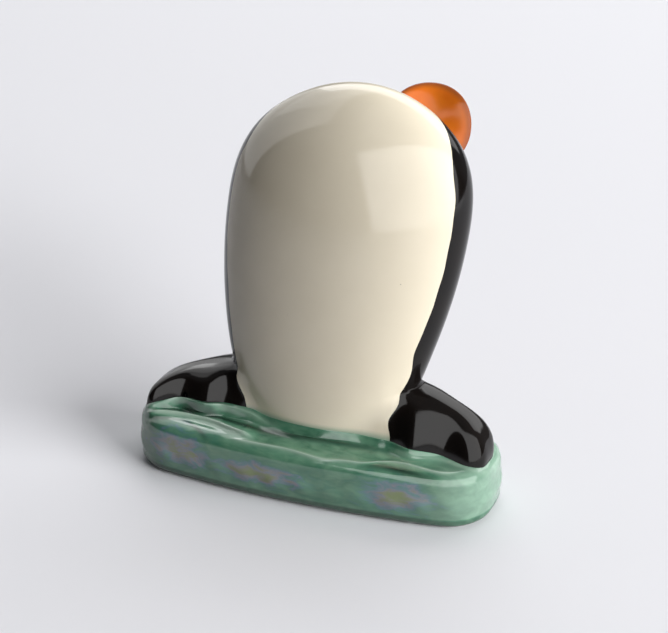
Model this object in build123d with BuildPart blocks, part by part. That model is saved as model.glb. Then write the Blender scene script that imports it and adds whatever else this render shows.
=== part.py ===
from build123d import *
import os
from math import cos, radians, sin, tan

# Small glazed ceramic figurine of a diving penguin. The body stands rump up with its head below
# the water, belly towards -Y and back towards +Y. The origin is the middle of the underside.
# Lengths are in millimetres and angles in degrees. Left is -X and right is +X.

# Slab of water that carries the figure, with long sides that bow out from its ends
base_length = 57.4
base_depth = 20.0
base_end_depth = 15.2
base_height = 9.0
base_corner_radius = 5.5
base_top_round = 2.2
base_foot_round = 0.9
vent_diameter = 3.6
vent_setback = 3.0

# Swell of water that rises round the body and the wings
swell_length = 52.0
swell_depth = 13.2
swell_height = 2.4
swell_slope = 36.0
swell_round = 1.2

# Body: an egg of elliptical sections, each a share of the rise above the slab and of the full width
body_rise = 52.0
body_width = 38.9
body_depth = 18.8
body_wall = 3.0
body_lean = 12.0
body_side_lean = 4.5
body_setback = 1.1
body_side_start = -1.0
body_turn = -3.5
body_section_shares = (
    (0.0, 0.605),
    (0.075, 0.69),
    (0.155, 0.775),
    (0.31, 0.897),
    (0.465, 0.972),
    (0.615, 1.0),
    (0.75, 0.965),
    (0.868, 0.81),
    (0.936, 0.59),
    (0.98, 0.335),
)
parting_lead = 3.7
parting_lean = 13.2
parting_bend_rise = 45.0
parting_top_lean = 62.0
parting_bend_radius = 6.0
seam_coil_width = 4.0
seam_coil_thickness = 1.4

# Wings: sections across the span, as shares of the reach, rise, thickness and setback
wing_reach = 27.6
wing_shift = 0.6
wing_rise = 10.8
wing_thickness = 9.6
wing_setback = 1.4
wing_section_shares = (
    (0.1, 0.97, 0.9, 1.0),
    (0.41, 0.905, 1.0, 0.92),
    (0.58, 0.81, 0.98, 0.68),
    (0.74, 0.67, 0.92, 0.16),
    (0.866, 0.505, 0.81, -0.56),
    (0.944, 0.34, 0.63, -1.2),
    (0.985, 0.17, 0.4, -1.6),
)
wing_tip_setback_share = -1.7

# Feet: rounded paddles on the back, the left one kicked further down
foot_width = 12.8
foot_length = 13.4
foot_thickness = 4.2
foot_edge_round = 1.8
foot_spread = 7.9
foot_setback = 9.4
foot_turn = 15.0
foot_tilt = 35.0
right_foot_rise = 43.6
left_foot_rise = 29.5

# Tail: a short wedge that lies up the back
tail_width = 9.0
tail_thickness = 4.4
tail_length = 12.0
tail_tip_share = 0.35
tail_rise = 37.1
tail_setback = 8.6
tail_shift = -6.1
tail_lean = 9.0


def body_axis(rise):
    """Point of the leaning body axis at a rise above the slab."""
    return (
        body_side_start + rise * tan(radians(body_side_lean)),
        body_setback + rise * tan(radians(body_lean)),
        base_height + rise,
    )


def body_plane(rise):
    """Level plane of the body's section at a rise above the slab, turned with the body."""
    turn = radians(body_turn)
    return Plane(origin=body_axis(rise), x_dir=(cos(turn), sin(turn), 0), z_dir=(0, 0, 1))


def egg_sections(drawn_in):
    """Sections of the body's egg, drawn in from its outside, with its apex as a point."""
    width = body_width - 2 * drawn_in
    depth = body_depth - 2 * drawn_in
    rise = body_rise - drawn_in
    sections = []
    for rise_share, width_share in body_section_shares:
        with BuildSketch(body_plane(rise * rise_share)) as section:
            Ellipse(width / 2 * width_share, depth / 2 * width_share)
        sections.append(section.sketch)
    return sections + [Vertex(*body_axis(rise))]


def wing_sections(side):
    """Sections of a wing from inside the body out to the tip, on the side -1 or 1."""
    sections = []
    for reach_share, rise_share, thickness_share, setback_share in wing_section_shares:
        with BuildSketch(Plane.YZ.offset(wing_shift + side * wing_reach * reach_share)) as section:
            with Locations((wing_setback * setback_share, base_height)):
                Ellipse(wing_thickness / 2 * thickness_share, wing_rise * rise_share)
        sections.append(section.sketch)
    tip_place = wing_shift + side * wing_reach
    tip = Vertex(tip_place, wing_setback * wing_tip_setback_share, base_height)
    return sections + [tip]


def foot_plane(side, rise):
    """Plane of a paddle foot, facing forwards, outwards and up from its place on the back."""
    x, y, z = body_axis(rise)
    turn = radians(side * foot_turn)
    tilt = radians(foot_tilt)
    facing = (sin(turn) * cos(tilt), -cos(turn) * cos(tilt), sin(tilt))
    return Plane(
        origin=(x + side * foot_spread, y + foot_setback, z),
        x_dir=(cos(turn), sin(turn), 0),
        z_dir=facing,
    )


def behind_parting(shift):
    """Space behind the line where the half shells part, moved back by the shift.

    The line climbs beside the leaning axis and then bends back over the rump.
    """
    start = (body_setback - parting_lead + shift, base_height)
    bend = (start[0] + parting_bend_rise * tan(radians(parting_lean)), base_height + parting_bend_rise)
    run_back = body_rise
    side_plane = Plane.YZ.rotated((0, 0, body_turn))
    top = (bend[0] + run_back, bend[1] + run_back / tan(radians(parting_top_lean)))
    with BuildPart() as space:
        with BuildSketch(side_plane) as outline:
            with BuildLine():
                Polyline(start, bend, top, (top[0], base_height), close=True)
            make_face()
            bend_corner = outline.vertices().sort_by_distance(side_plane.from_local_coords((*bend, 0)))[0]
            fillet(bend_corner, parting_bend_radius)
        extrude(amount=body_width, both=True)
    return space.part


# Forms that several pieces share
with BuildPart() as body_form:
    loft(egg_sections(0))

with BuildPart() as body_cavity:
    loft(egg_sections(body_wall))

with BuildPart() as coil_bore:
    loft(egg_sections(body_wall + seam_coil_thickness))

# Slab with rolled edges and a firing vent
with BuildPart() as base_slab:
    with BuildSketch() as base_outline:
        with BuildLine():
            half_length = base_length / 2
            half_end = base_end_depth / 2
            front = ThreePointArc((-half_length, -half_end), (0, -base_depth / 2), (half_length, -half_end))
            back = ThreePointArc((half_length, half_end), (0, base_depth / 2), (-half_length, half_end))
            Line(front @ 1, back @ 0)
            Line(back @ 1, front @ 0)
        make_face()
        fillet(base_outline.vertices(), base_corner_radius)
    extrude(amount=base_height)
    fillet(base_slab.faces().sort_by(Axis.Z)[-1].edges(), base_top_round)
    fillet(base_slab.faces().sort_by(Axis.Z)[0].edges(), base_foot_round)
    with Locations((0, vent_setback, 0)):
        Hole(vent_diameter / 2)
base_slab.part.label = "base_slab"

# Two half shells of the body, luted together along the parting line
with BuildPart() as belly_shell:
    add(body_form.part)
    add(body_cavity.part, mode=Mode.SUBTRACT)
    add(behind_parting(0), mode=Mode.SUBTRACT)
belly_shell.part.label = "belly_shell"

with BuildPart() as back_shell:
    add(body_form.part)
    add(body_cavity.part, mode=Mode.SUBTRACT)
    add(behind_parting(0), mode=Mode.INTERSECT)
back_shell.part.label = "back_shell"

# Coil of clay pressed along the inside of the join
with BuildPart() as seam_coil:
    add(body_cavity.part)
    add(coil_bore.part, mode=Mode.SUBTRACT)
    add(behind_parting(-seam_coil_width / 2), mode=Mode.INTERSECT)
    add(behind_parting(seam_coil_width / 2), mode=Mode.SUBTRACT)
seam_coil.part.label = "seam_coil"

# Wings spread over the ends of the slab
with BuildPart() as left_wing:
    loft(wing_sections(-1))
    split(bisect_by=Plane.XY.offset(base_height), keep=Keep.TOP)
    add(body_form.part, mode=Mode.SUBTRACT)
left_wing.part.label = "left_wing"

with BuildPart() as right_wing:
    loft(wing_sections(1))
    split(bisect_by=Plane.XY.offset(base_height), keep=Keep.TOP)
    add(body_form.part, mode=Mode.SUBTRACT)
right_wing.part.label = "right_wing"

# Swell of water pressed up against the body and the wings
with BuildPart() as water_swell:
    with BuildSketch(Plane.XY.offset(base_height)):
        SlotOverall(swell_length, swell_depth)
    extrude(amount=swell_height, taper=swell_slope)
    fillet(water_swell.faces().sort_by(Axis.Z)[-1].edges(), swell_round)
    add(body_form.part, mode=Mode.SUBTRACT)
    add(left_wing.part, mode=Mode.SUBTRACT)
    add(right_wing.part, mode=Mode.SUBTRACT)
water_swell.part.label = "water_swell"

# Feet luted on to the back
with BuildPart() as left_foot:
    with BuildSketch(foot_plane(-1, left_foot_rise)):
        Ellipse(foot_width / 2, foot_length / 2)
    extrude(amount=foot_thickness / 2, both=True)
    fillet(left_foot.edges(), foot_edge_round)
    add(body_form.part, mode=Mode.SUBTRACT)
left_foot.part.label = "left_foot"

with BuildPart() as right_foot:
    with BuildSketch(foot_plane(1, right_foot_rise)):
        Ellipse(foot_width / 2, foot_length / 2)
    extrude(amount=foot_thickness / 2, both=True)
    fillet(right_foot.edges(), foot_edge_round)
    add(body_form.part, mode=Mode.SUBTRACT)
right_foot.part.label = "right_foot"

# Tail wedge between the feet
with BuildPart() as tail:
    tail_x, tail_y, tail_z = body_axis(tail_rise)
    tail_plane = Plane(
        origin=(tail_x + tail_shift, tail_y + tail_setback, tail_z),
        x_dir=(1, 0, 0),
        z_dir=(0, sin(radians(tail_lean)), cos(radians(tail_lean))),
    )
    with BuildSketch(tail_plane):
        Ellipse(tail_width / 2, tail_thickness / 2)
    with BuildSketch(tail_plane.offset(tail_length)):
        Ellipse(tail_width / 2 * tail_tip_share, tail_thickness / 2 * tail_tip_share)
    loft()
    add(body_form.part, mode=Mode.SUBTRACT)
tail.part.label = "tail"

os.makedirs("parts", exist_ok=True)
pieces = (
    base_slab,
    water_swell,
    belly_shell,
    back_shell,
    seam_coil,
    left_wing,
    right_wing,
    left_foot,
    right_foot,
    tail,
)
for piece in pieces:
    export_step(piece.part, f"parts/{piece.part.label}.step")
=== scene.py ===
"""Glazed ceramic figurine of a diving penguin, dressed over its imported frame.

The belly faces -Y and the back +Y. The penguin stands rump up on a slab of water, with its head
below the surface. Sizes are in millimetres and angles in degrees, and both are turned into metres
and radians where a mesh, a lamp or the camera is made.
"""

import logging
from dataclasses import dataclass
from enum import Enum
from functools import cache

import bpy
import numpy as np
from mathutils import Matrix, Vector


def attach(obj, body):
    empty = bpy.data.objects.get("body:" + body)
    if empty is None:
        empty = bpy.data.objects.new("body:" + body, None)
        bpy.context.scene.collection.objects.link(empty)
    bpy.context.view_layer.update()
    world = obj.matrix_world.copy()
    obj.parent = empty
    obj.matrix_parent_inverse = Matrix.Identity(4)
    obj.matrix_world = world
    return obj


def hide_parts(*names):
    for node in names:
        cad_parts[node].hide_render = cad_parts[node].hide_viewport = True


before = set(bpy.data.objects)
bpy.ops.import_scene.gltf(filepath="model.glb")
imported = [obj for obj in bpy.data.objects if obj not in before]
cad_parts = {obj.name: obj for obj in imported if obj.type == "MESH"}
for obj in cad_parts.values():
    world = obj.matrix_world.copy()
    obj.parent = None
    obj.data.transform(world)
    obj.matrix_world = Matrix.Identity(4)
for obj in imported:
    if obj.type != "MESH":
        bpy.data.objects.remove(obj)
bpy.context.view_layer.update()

LOG = logging.getLogger("figurine")
MM = 0.001
TINY = 1e-9
PHOTO_WIDTH = 668
BODY = "root"

# Value of each mesh point that its finish reads, and what it is on plain lustre, where lower
# values add pooled glaze and painted shade and higher ones thin glaze, painted highlight and
# painted light
SHADE = "shade"
PLAIN = 0.5

# Sockets of a Mix node that is set to colours
SHARE, BELOW, ABOVE, MIXED = 0, 6, 7, 2

Array = np.ndarray
Pair = tuple[float, float]
Triple = tuple[float, float, float]
Colour = tuple[float, float, float, float]
Knots = tuple[Pair, ...]
Piece = bpy.types.Object
Tree = bpy.types.NodeTree
Socket = bpy.types.NodeSocket
Coat = tuple[Socket, Socket | Colour]


class Side(Enum):
    """Side of the figurine, as seen facing its belly."""

    LEFT = -1
    RIGHT = 1


def srgb(code: str) -> Colour:
    """Turn an sRGB hex colour into linear light.

    Args:
        code: Colour such as "#e9decb".

    Returns:
        Linear red, green and blue, with an alpha of 1.
    """
    channels = np.array([int(code[i : i + 2], 16) for i in (1, 3, 5)]) / 255
    linear = np.where(channels <= 0.04045, channels / 12.92, ((channels + 0.055) / 1.055) ** 2.4)
    return (*linear.tolist(), 1.0)


def per_metre(size: float) -> float:
    """Scale of a texture whose features are about this many millimetres across."""
    return 1 / (size * MM)


def add_node(
    tree: Tree, kind: str, inputs: dict | None = None, **settings: object
) -> bpy.types.Node:
    """Add a node with its settings, and set or link its inputs.

    Args:
        tree: Node tree that takes the node.
        kind: Type name of the node.
        inputs: Socket names or numbers, each with a constant or with the socket that feeds it.
        settings: Properties of the node.

    Returns:
        The new node.
    """
    node = tree.nodes.new(kind)
    for name, value in settings.items():
        setattr(node, name, value)
    for socket, value in (inputs or {}).items():
        if isinstance(value, Socket):
            tree.links.new(value, node.inputs[socket])
        else:
            node.inputs[socket].default_value = value
    return node


def spline(knots: Knots, at: Array) -> Array:
    """Natural cubic spline through knots, held level beyond its ends.

    The second derivatives at the knots solve the usual three-term equations, and each span is the
    cubic that they and its two end values give.

    Args:
        knots: Pairs of place and value, in rising order of place.
        at: Places to read the spline at.

    Returns:
        Values at those places.
    """
    place, value = np.array(knots).T
    at = np.clip(at, place[0], place[-1])
    step = np.diff(place)
    slope = np.diff(value) / step
    system = np.eye(len(place))
    inner = np.arange(1, len(place) - 1)
    system[inner, inner - 1] = step[:-1]
    system[inner, inner] = 2 * (step[:-1] + step[1:])
    system[inner, inner + 1] = step[1:]
    turn = np.zeros(len(place))
    turn[1:-1] = 6 * np.diff(slope)
    bend = np.linalg.solve(system, turn)
    span = np.clip(np.searchsorted(place, at) - 1, 0, len(step) - 1)
    ahead = (place[span + 1] - at) / step[span]
    behind = 1 - ahead
    curve = (ahead**3 - ahead) * bend[span] + (behind**3 - behind) * bend[span + 1]
    return ahead * value[span] + behind * value[span + 1] + curve * step[span] ** 2 / 6


def ease(low: float, high: float, at: Array) -> Array:
    """Smooth step from 0 at low to 1 at high: the cubic that is level at both ends."""
    share = np.clip((at - low) / (high - low), 0, 1)
    return share * share * (3 - 2 * share)


def bell(at: Array, power: float = 2.0) -> Array:
    """Bell curve of height 1 round 0: the exponential of minus a power of the distance."""
    return np.exp(-(np.abs(at) ** power))


def steps(count: int) -> Array:
    """Even shares from just past 0 up to 1, as a column of rows."""
    return np.linspace(0, 1, count + 1)[1:, None]


def unit(vectors: Array) -> Array:
    """Vectors along the last axis, scaled to length 1."""
    return vectors / np.maximum(np.linalg.norm(vectors, axis=-1, keepdims=True), TINY)


def pick(pair: Pair, right: Array) -> Array:
    """Value at each place, from a pair for the left side and the right."""
    return np.where(right, pair[1], pair[0])


def carried(start: Array, *moves: tuple[Array, Array]) -> Array:
    """Grid of points: a start, plus each grid of distances along its own direction."""
    return start + sum(distance[..., None] * direction for distance, direction in moves)


@dataclass
class Form:
    """Mesh of one piece, in millimetres."""

    points: Array
    normals: Array
    triangles: Array
    values: Array
    finish: Array


def grid_triangles(numbers: Array) -> Array:
    """Two triangles for each cell of a grid of vertex numbers.

    Numbers that repeat weld a seam or a pole, and the triangles that this flattens are dropped.

    Args:
        numbers: Vertex number at each row and column.

    Returns:
        Vertex numbers of the triangles, one row each.
    """
    near, right = numbers[:-1, :-1], numbers[:-1, 1:]
    far, left = numbers[1:, 1:], numbers[1:, :-1]
    first = np.stack([near, right, far], axis=-1).reshape(-1, 3)
    second = np.stack([near, far, left], axis=-1).reshape(-1, 3)
    cells = np.concatenate([first, second])
    whole = (cells != np.roll(cells, 1, axis=1)).all(axis=1)
    return cells[whole]


def patch(points: Array, normals: Array, blocks: list[Array], values: Array | None = None) -> Form:
    """Open form from blocks of a grid of points.

    Args:
        points: Grid of points.
        normals: Outward normal at each point.
        blocks: Vertex numbers at the rows and columns of each block.
        values: Number between 0 and 1 at each point, for the finish to read, or 0 all over.

    Returns:
        The form, without the points that no triangle uses.
    """
    triangles = np.concatenate([grid_triangles(block) for block in blocks])
    used, corners = np.unique(triangles, return_inverse=True)
    shades = np.zeros(points.shape[:2]) if values is None else values
    return Form(
        points.reshape(-1, 3)[used],
        normals.reshape(-1, 3)[used],
        corners.reshape(-1, 3),
        shades.ravel()[used],
        np.zeros(len(triangles), int),
    )


def ring_numbers(rows: int, columns: int, poles: tuple[bool, bool]) -> Array:
    """Vertex numbers of a grid whose columns close into rings.

    Args:
        rows: Number of rings.
        columns: Number of points in a ring.
        poles: Whether the first and the last ring shrink to one point.

    Returns:
        Grid of numbers with the first column repeated at its end.
    """
    numbers = np.arange(rows * columns).reshape(rows, columns)
    for row, pole in zip((0, -1), poles):
        if pole:
            numbers[row] = numbers[row, 0]
    return np.concatenate([numbers, numbers[:, :1]], axis=1)


def ring_normals(points: Array) -> Array:
    """Outward normals of a grid of rings, from the cross product of its two tangents.

    Args:
        points: Grid of points, whose rows are rings.

    Returns:
        Normal at each point. A ring that shrinks to a pole has the mean of the next ring's.
    """
    along = np.roll(points, -1, axis=1) - np.roll(points, 1, axis=1)
    across = np.gradient(points, axis=0)
    normals = np.cross(along, across)
    for row, inner in ((0, 1), (-1, -2)):
        if np.abs(normals[row]).max() < TINY:
            normals[row] = normals[inner].mean(axis=0)
    return unit(normals)


def bead(points: Array, values: Array | None = None) -> Form:
    """Closed form from a grid of rings that shrink to a point at both ends."""
    numbers = ring_numbers(*points.shape[:2], (True, True))
    return patch(points, ring_normals(points), [numbers], values)


def thicken(form: Form, wall: float) -> Form:
    """Closed shell from an open surface.

    The surface is repeated a wall's depth along its inward normals and turned over, and each edge
    that only one triangle has gets a band that joins the two.

    Args:
        form: Open surface.
        wall: Depth of the shell.

    Returns:
        The closed shell.
    """
    count = len(form.points)
    start = form.triangles.ravel()
    end = np.roll(form.triangles, -1, axis=1).ravel()
    lone = ~np.isin(end * count + start, start * count + end)
    start, end = start[lone], end[lone]
    near = np.stack([end, start, start + count], axis=1)
    far = np.stack([end, start + count, end + count], axis=1)
    inside = form.triangles[:, ::-1] + count
    return Form(
        np.concatenate([form.points, form.points - wall * form.normals]),
        np.concatenate([form.normals, -form.normals]),
        np.concatenate([form.triangles, inside, near, far]),
        np.concatenate([form.values, form.values]),
        np.concatenate([form.finish, form.finish, np.zeros(len(near) + len(far), int)]),
    )


# FINISHES


@dataclass(frozen=True)
class Finish:
    """Fired surface. A glaze is a thin coat of glass, uneven where it ran when it was molten.

    The ground colour drifts into the cloud colour, and other coats may lie over both.
    """

    name: str
    slot: str
    ground: str
    cloud: str
    cloud_size: float
    cloud_detail: float
    ior: float
    roughness: float
    roughness_spread: float
    run_size: float
    run_depth: float
    run_detail: float = 1.0
    smear_detail: float = 3.0
    smear_range: Pair = (0.3, 0.7)

    def clouds(self, tree: Tree, place: Socket) -> Socket:
        """Share of the cloud colour at a place, from slow noise."""
        noise = {"Vector": place, "Scale": per_metre(self.cloud_size), "Detail": self.cloud_detail}
        return add_node(tree, "ShaderNodeTexNoise", noise).outputs["Fac"]

    def coats(self, tree: Tree, place: Socket) -> list[Coat]:
        """Share and colour of each other coat, from the lowest up. A plain finish has none."""
        return []

    @cache
    def material(self) -> bpy.types.Material:
        """Make the finish as a node material, once for all its pieces.

        Each coat is mixed over what lies below it. Noise as broad as the runs of a glaze varies
        the roughness and, through a bump, the normal.

        Returns:
            The material, with its colour, gloss and relief from nodes on Object coordinates.
        """
        material = bpy.data.materials.new(self.name)
        material.use_nodes = True
        tree = material.node_tree
        tree.nodes.clear()
        place = add_node(tree, "ShaderNodeTexCoord").outputs["Object"]
        colour = srgb(self.ground)
        clouded = (self.clouds(tree, place), srgb(self.cloud))
        for share, coat in (clouded, *self.coats(tree, place)):
            layers = {SHARE: share, BELOW: colour, ABOVE: coat}
            colour = add_node(tree, "ShaderNodeMix", layers, data_type="RGBA").outputs[MIXED]
        broad = {"Vector": place, "Scale": per_metre(self.run_size)}
        smears = add_node(tree, "ShaderNodeTexNoise", {**broad, "Detail": self.smear_detail})
        gloss = add_node(
            tree,
            "ShaderNodeMapRange",
            {
                "Value": smears.outputs["Fac"],
                "From Min": self.smear_range[0],
                "From Max": self.smear_range[1],
                "To Min": self.roughness - self.roughness_spread,
                "To Max": self.roughness + self.roughness_spread,
            },
        )
        runs = add_node(tree, "ShaderNodeTexNoise", {**broad, "Detail": self.run_detail})
        relief = add_node(
            tree,
            "ShaderNodeBump",
            {"Height": runs.outputs["Fac"], "Distance": self.run_depth * MM},
        )
        shader = add_node(
            tree,
            "ShaderNodeBsdfPrincipled",
            {
                "Base Color": colour,
                "Roughness": gloss.outputs["Result"],
                "IOR": self.ior,
                "Normal": relief.outputs["Normal"],
            },
        )
        add_node(tree, "ShaderNodeOutputMaterial", {"Surface": shader.outputs["BSDF"]})
        return material


@dataclass(frozen=True)
class WhiteGlaze(Finish):
    """White glaze with a few pinholes, stained where the green glaze ran up its foot."""

    pinhole: str = "#6f6455"
    foot: str = "#93ab95"
    pinhole_spacing: float = 5.5
    pinhole_size: float = 0.16
    pinhole_core_share: float = 0.4

    def coats(self, tree: Tree, place: Socket) -> list[Coat]:
        """Lay dark pinholes at scattered points, and the stain that the mesh gives.

        Args:
            tree: Node tree that takes the nodes.
            place: Place on the piece.

        Returns:
            Share and colour of each coat.
        """
        holes = add_node(
            tree,
            "ShaderNodeTexVoronoi",
            {"Vector": place, "Scale": per_metre(self.pinhole_spacing)},
        )
        radius = self.pinhole_size / self.pinhole_spacing
        core = radius * self.pinhole_core_share
        inside = add_node(
            tree,
            "ShaderNodeMapRange",
            {"Value": holes.outputs["Distance"], "From Min": radius, "From Max": core},
        )
        stain = add_node(tree, "ShaderNodeAttribute", attribute_name=SHADE)
        return [
            (inside.outputs["Result"], srgb(self.pinhole)),
            (stain.outputs["Fac"], srgb(self.foot)),
        ]


@dataclass(frozen=True)
class OrangeGlaze(Finish):
    """Orange glaze: thick and deep on the flat of a paddle, thin and brown along its edge."""

    edge: str = "#8f4a24"

    def coats(self, tree: Tree, place: Socket) -> list[Coat]:
        """Share and colour of the thin edge, whose place the mesh gives."""
        tinted = add_node(tree, "ShaderNodeAttribute", attribute_name=SHADE)
        return [(tinted.outputs["Fac"], srgb(self.edge))]


@dataclass(frozen=True)
class Film:
    """Patch where the lustre film is thick: its middle and its reach along each axis."""

    middle: Triple
    reach: Triple

    def distance(self, tree: Tree, place: Socket) -> Socket:
        """Distance of a place from the middle, in reaches.

        Args:
            tree: Node tree that takes the nodes.
            place: Place on the piece.

        Returns:
            Socket that gives 0 in the middle and 1 at the patch's rim.
        """
        scale = tuple(per_metre(reach) for reach in self.reach)
        shift = tuple(-middle / reach for middle, reach in zip(self.middle, self.reach))
        spot = {"Vector": place, "Location": shift, "Scale": scale}
        local = add_node(tree, "ShaderNodeMapping", spot).outputs["Vector"]
        length = add_node(tree, "ShaderNodeVectorMath", {0: local}, operation="LENGTH")
        return length.outputs["Value"]


@dataclass(frozen=True)
class GreenLustre(Finish):
    """Green glaze under lustre: pools and painted shade dark, crests and painted highlights pale.
    """

    # Pooled glaze, also used as painted shade in valleys and dents and along the slab's foot
    pool_and_shade: str = "#0a2b1c"
    # Thin glaze on crests, also used as painted highlight on crests and the collar's lip, and as
    # painted light on the slab's right end
    crest_and_highlight: str = "#a9c0b0"
    rings: tuple[tuple[float, str], ...] = (
        (0.0, "#8a8f5c"),
        (0.2, "#8f8c74"),
        (0.4, "#92889c"),
        (0.62, "#66849c"),
        (0.82, "#558a7c"),
    )
    cloud_spread: Pair = (0.2, 0.8)
    cloud_swirl: float = 0.4
    stretch: Triple = (0.5, 1.0, 1.1)
    ripple: float = 1.7
    ripple_size: float = 1.5
    ripple_detail: float = 5.0
    ripple_swirl: float = 0.8
    film_cover: float = 0.72
    film_full: float = 0.35
    film_end: float = 1.25
    films: tuple[Film, ...] = (
        Film((-19.5, -8.0, 5.2), (6.8, 6.0, 4.0)),
        Film((-6.0, -10.0, 4.6), (11.0, 6.0, 2.4)),
        Film((16.0, -9.0, 4.8), (8.0, 6.0, 3.4)),
        Film((-13.0, 9.5, 5.0), (11.0, 6.0, 3.2)),
        Film((10.0, 9.5, 4.6), (11.0, 6.0, 3.0)),
    )

    def drawn(self, tree: Tree, place: Socket) -> Socket:
        """Place drawn out along the slab, as the molten glaze ran."""
        run = {"Vector": place, "Scale": self.stretch}
        return add_node(tree, "ShaderNodeMapping", run).outputs["Vector"]

    def clouds(self, tree: Tree, place: Socket) -> Socket:
        """Mottle the green with swirled noise, spread to its full range.

        Args:
            tree: Node tree that takes the nodes.
            place: Place on the piece.

        Returns:
            Socket that gives the share of the paler green.
        """
        mottle = add_node(
            tree,
            "ShaderNodeTexNoise",
            {
                "Vector": self.drawn(tree, place),
                "Scale": per_metre(self.cloud_size),
                "Detail": self.cloud_detail,
                "Distortion": self.cloud_swirl,
            },
        )
        low, high = self.cloud_spread
        spread = {"Value": mottle.outputs["Fac"], "From Min": low, "From Max": high}
        return add_node(tree, "ShaderNodeMapRange", spread).outputs["Result"]

    def thinness(self, tree: Tree, place: Socket) -> Socket:
        """Thinness of the lustre film: the distance from its nearest patch, made ragged by noise.

        Args:
            tree: Node tree that takes the nodes.
            place: Place on the piece.

        Returns:
            Socket that gives about 0 in the middle of a patch and 1 at its rim.
        """
        nearest, *others = (film.distance(tree, place) for film in self.films)
        for other in others:
            closer = add_node(tree, "ShaderNodeMath", {0: nearest, 1: other}, operation="MINIMUM")
            nearest = closer.outputs[0]
        ripples = add_node(
            tree,
            "ShaderNodeTexNoise",
            {
                "Vector": self.drawn(tree, place),
                "Scale": per_metre(self.ripple_size),
                "Detail": self.ripple_detail,
                "Distortion": self.ripple_swirl,
            },
        )
        ragged = add_node(
            tree,
            "ShaderNodeMath",
            {0: ripples.outputs["Fac"], 1: self.ripple, 2: -self.ripple / 2},
            operation="MULTIPLY_ADD",
        )
        return add_node(tree, "ShaderNodeMath", {0: nearest, 1: ragged.outputs[0]}).outputs[0]

    def coats(self, tree: Tree, place: Socket) -> list[Coat]:
        """Lay the film's rings, then pooled glaze with painted shade and crests with painted
        highlight.

        Args:
            tree: Node tree that takes the nodes.
            place: Place on the piece.

        Returns:
            Share and colour of each coat.
        """
        thinness = self.thinness(tree, place)
        rings = add_node(tree, "ShaderNodeValToRGB", {"Fac": thinness})
        (inner_place, inner), *others = self.rings
        stops = rings.color_ramp.elements
        stops.remove(stops[1])
        stops[0].position, stops[0].color = inner_place, srgb(inner)
        for ring_place, code in others:
            stops.new(ring_place).color = srgb(code)
        cover = add_node(
            tree,
            "ShaderNodeMapRange",
            {
                "Value": thinness,
                "From Min": self.film_end,
                "From Max": self.film_full,
                "To Max": self.film_cover,
            },
            interpolation_type="SMOOTHSTEP",
        )
        coats = [(cover.outputs["Result"], rings.outputs["Color"])]
        # Below the plain value the mesh paints shade over pooled glaze, above it painted highlight
        # and light over thin glaze
        depth = add_node(tree, "ShaderNodeAttribute", attribute_name=SHADE).outputs["Fac"]
        for end, code in ((0.0, self.pool_and_shade), (1.0, self.crest_and_highlight)):
            away = {"Value": depth, "From Min": PLAIN, "From Max": end}
            share = add_node(tree, "ShaderNodeMapRange", away).outputs["Result"]
            coats.append((share, srgb(code)))
        return coats


# Clear glaze over white slip: warm cream with faint clouding and a broad, clean gloss
WHITE = WhiteGlaze(
    name="cream_white_glaze",
    slot="white_glaze",
    ground="#ebe1cb",
    cloud="#e0d5be",
    cloud_size=9.0,
    cloud_detail=4.0,
    ior=1.55,
    roughness=0.09,
    roughness_spread=0.02,
    run_size=16.0,
    run_depth=0.16,
)

# Gloss black glaze: deep and even, a shade browner where it thinned
BLACK = Finish(
    name="gloss_black_glaze",
    slot="black_glaze",
    ground="#0a0a0b",
    cloud="#17120f",
    cloud_size=6.0,
    cloud_detail=3.0,
    ior=1.4,
    roughness=0.11,
    roughness_spread=0.02,
    run_size=9.0,
    run_depth=0.08,
)

# Orange glaze, brushed on thickly: warm and softly clouded, with a duller gloss
ORANGE = OrangeGlaze(
    name="orange_glaze",
    slot="orange_glaze",
    ground="#d05c0a",
    cloud="#e07a1c",
    cloud_size=3.0,
    cloud_detail=3.0,
    ior=1.42,
    roughness=0.16,
    roughness_spread=0.03,
    run_size=5.0,
    run_depth=0.06,
)

# Copper green under lustre, whose metal film gives a stronger mirror than plain glass
LUSTRE = GreenLustre(
    name="green_lustre_glaze",
    slot="green_lustre_glaze",
    ground="#28644c",
    cloud="#6f9c80",
    cloud_size=1.5,
    cloud_detail=6.0,
    ior=1.75,
    roughness=0.11,
    roughness_spread=0.04,
    run_size=3.5,
    run_depth=0.1,
)

# Fired white clay without glaze: matt and warm, its fine grit drawn coarse enough to show
CLAY = Finish(
    name="bare_fired_clay",
    slot="bare_clay",
    ground="#cbb89f",
    cloud="#a58f75",
    cloud_size=0.7,
    cloud_detail=2.0,
    ior=1.5,
    roughness=0.75,
    roughness_spread=0.08,
    run_size=0.9,
    run_depth=0.05,
)


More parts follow.
